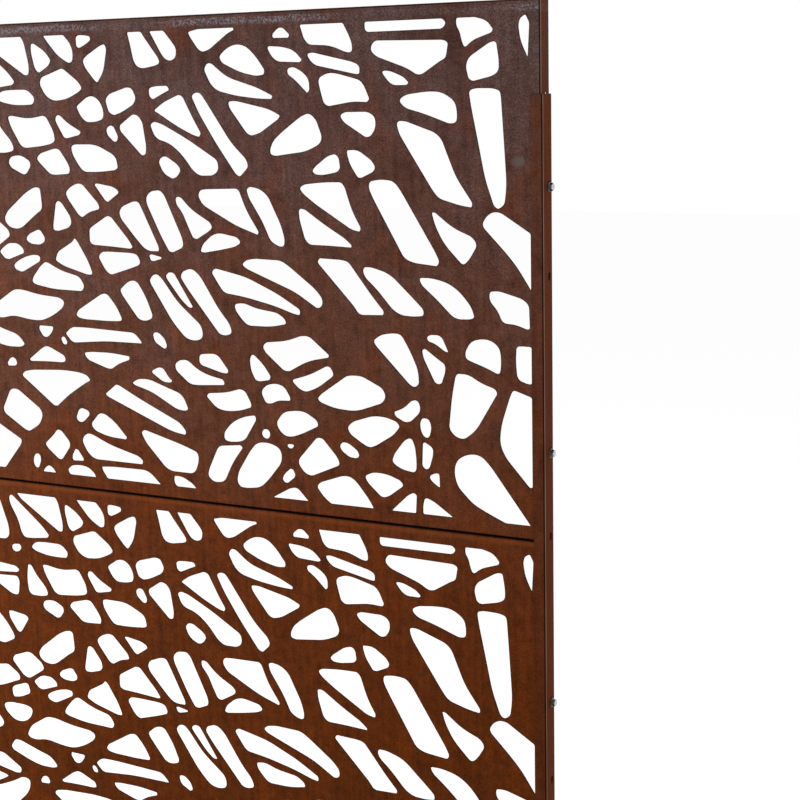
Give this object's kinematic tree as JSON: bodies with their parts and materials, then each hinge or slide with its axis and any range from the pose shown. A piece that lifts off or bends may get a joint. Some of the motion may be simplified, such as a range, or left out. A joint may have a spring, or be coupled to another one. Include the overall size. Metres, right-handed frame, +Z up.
{
  "type": "pattern-cut steel room screen",
  "caption": "Free-standing steel room screen of stacked folded panels with an organic cut-out cell pattern, bolted between side posts on flat feet.",
  "frame": {"origin": "on the floor, under the middle of the screen", "axes": "+X to the right as seen from the front, +Y from the front to the back, +Z up"},
  "size_m": [1.2418, 0.42, 1.61],
  "materials": {
    "upper_panel": "dark grey-brown rust patina, matt",
    "lower_panel": "orange-brown rust patina, matt",
    "posts": "brown rust patina, matt",
    "feet": "brown rust patina, matt",
    "fixings": "stainless steel, satin"
  },
  "bodies": {
    "root": {"upper_panel": "upper_panel", "lower_panel": "lower_panel", "right_post": "posts", "left_post": "posts", "right_foot": "feet", "left_foot": "feet", "upper_top_bolt_right": "fixings", "upper_top_nut_right": "fixings", "upper_top_bolt_left": "fixings", "upper_top_nut_left": "fixings", "upper_bottom_bolt_right": "fixings", "upper_bottom_nut_right": "fixings", "upper_bottom_bolt_left": "fixings", "upper_bottom_nut_left": "fixings", "lower_top_bolt_right": "fixings", "lower_top_nut_right": "fixings", "lower_top_bolt_left": "fixings", "lower_top_nut_left": "fixings", "lower_bottom_bolt_right": "fixings", "lower_bottom_nut_right": "fixings", "lower_bottom_bolt_left": "fixings", "lower_bottom_nut_left": "fixings", "seam_bolt_1": "fixings", "seam_nut_1": "fixings", "seam_bolt_2": "fixings", "seam_nut_2": "fixings", "seam_bolt_3": "fixings", "seam_nut_3": "fixings", "seam_bolt_4": "fixings", "seam_nut_4": "fixings", "seam_washer_1": "fixings", "seam_washer_2": "fixings", "seam_washer_3": "fixings", "seam_washer_4": "fixings", "foot_bolt_right_1": "fixings", "foot_nut_right_1": "fixings", "foot_bolt_left_1": "fixings", "foot_nut_left_1": "fixings", "foot_bolt_right_2": "fixings", "foot_nut_right_2": "fixings", "foot_bolt_left_2": "fixings", "foot_nut_left_2": "fixings"}
  },
  "joints": []
}
